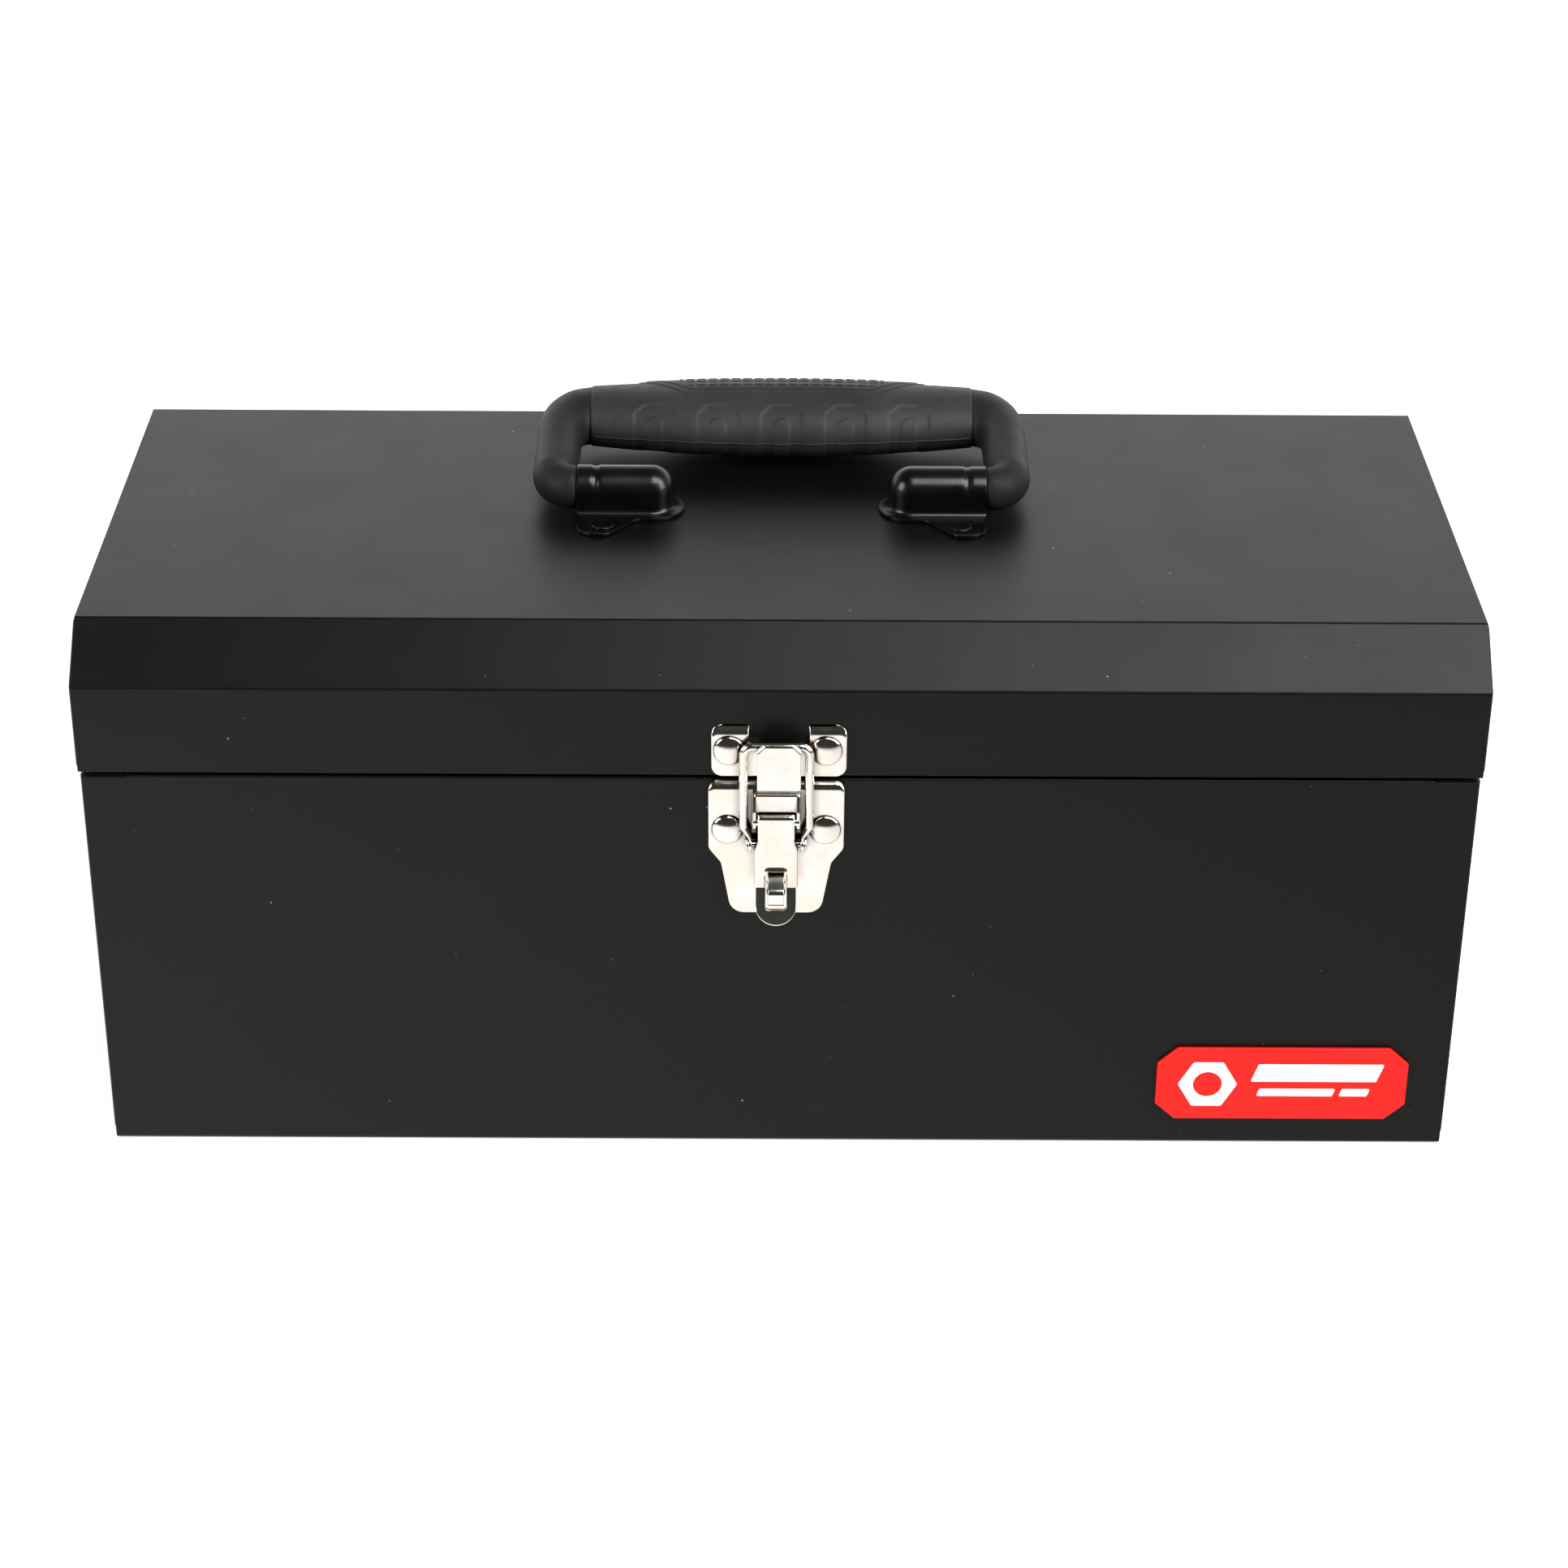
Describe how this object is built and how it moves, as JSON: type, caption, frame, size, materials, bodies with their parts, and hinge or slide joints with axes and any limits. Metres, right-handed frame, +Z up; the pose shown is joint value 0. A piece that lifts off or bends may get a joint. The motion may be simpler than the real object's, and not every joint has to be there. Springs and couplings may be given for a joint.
{
  "type": "tool box",
  "caption": "Black sheet-steel hip-roof tool box with a hinged lid, a nickel draw latch, a folding handle with a rubber grip, and a lift-out tray.",
  "frame": {"origin": "centre of the box's bottom face", "axes": "+X along the box to the right of someone facing the latch, +Y from the latch to the hinge, +Z up"},
  "size_m": [0.4074, 0.1982, 0.193],
  "materials": {
    "box_paint": "satin black powder coat",
    "bracket_paint": "gloss black enamel",
    "nickel": "bright nickel plate",
    "bare_steel": "bright drawn steel",
    "handle_plastic": "satin moulded",
    "grip_rubber": "matt moulded with raised finger pads",
    "badge_red": "glossy red enamel"
  },
  "bodies": {
    "box": {"body_wrap": "box_paint", "body_end_left": "box_paint", "body_end_right": "box_paint", "tray_ledge_left": "box_paint", "tray_ledge_right": "box_paint", "badge": "badge_red", "hinge_leaf_body": "box_paint", "hinge_pin": "bare_steel", "latch_base_plate": "nickel", "latch_staple": "nickel", "lever_pivot_pin": "nickel", "base_rivet_left": "nickel", "base_rivet_right": "nickel"},
    "lid": {"lid_wrap": "box_paint", "lid_end_left": "box_paint", "lid_end_right": "box_paint", "hinge_leaf_lid": "box_paint", "strike_plate": "nickel", "strike_rivet_left": "nickel", "strike_rivet_right": "nickel", "handle_bracket_left": "bracket_paint", "handle_bracket_right": "bracket_paint", "bracket_rivet_left_front": "bracket_paint", "bracket_rivet_left_rear": "bracket_paint", "bracket_rivet_right_front": "bracket_paint", "bracket_rivet_right_rear": "bracket_paint"},
    "handle": {"handle_frame": "handle_plastic", "handle_grip": "grip_rubber"},
    "lever": {"latch_lever": "nickel"},
    "bail_pins": {"bail_pin_left": "nickel", "bail_pin_right": "nickel"},
    "bail": {"bail_wire": "nickel"},
    "tray": {"tray_wrap": "box_paint", "tray_end_left": "box_paint", "tray_end_right": "box_paint", "tray_handle": "box_paint", "tray_rivet_left": "bare_steel", "tray_rivet_right": "bare_steel"}
  },
  "joints": [
    {"name": "lid_hinge", "type": "hinge", "parent": "box", "child": "lid", "pos_m": [0, 0.09125, 0.12735], "axis": [-1, 0, 0], "range_deg": [0, 100]},
    {"name": "handle_pivot", "type": "hinge", "parent": "lid", "child": "handle", "pos_m": [0, 0, 0.1776], "axis": [1, 0, 0], "range_deg": [0, 169]},
    {"name": "lever_pivot", "type": "hinge", "parent": "box", "child": "lever", "pos_m": [-0.0013, -0.0966, 0.1153], "axis": [-1, 0, 0], "range_deg": [0, 90]},
    {"name": "bail_guide", "type": "hinge", "parent": "lever", "child": "bail_pins", "pos_m": [-0.0013, -0.096, 0.1076], "axis": [-1, 0, 0], "range_deg": [-73, 0]},
    {"name": "bail_swing", "type": "hinge", "parent": "bail_pins", "child": "bail", "pos_m": [-0.0013, -0.096, 0.1076], "axis": [1, 0, 0], "range_deg": [0, 90]},
    {"name": "tray_lift", "type": "slide", "parent": "box", "child": "tray", "axis": [0, 0, 1], "range_m": [0, 0.03]}
  ],
  "couplings": [
    {"joint": "bail_guide", "follows": "lever_pivot", "ratio": -0.8}
  ]
}
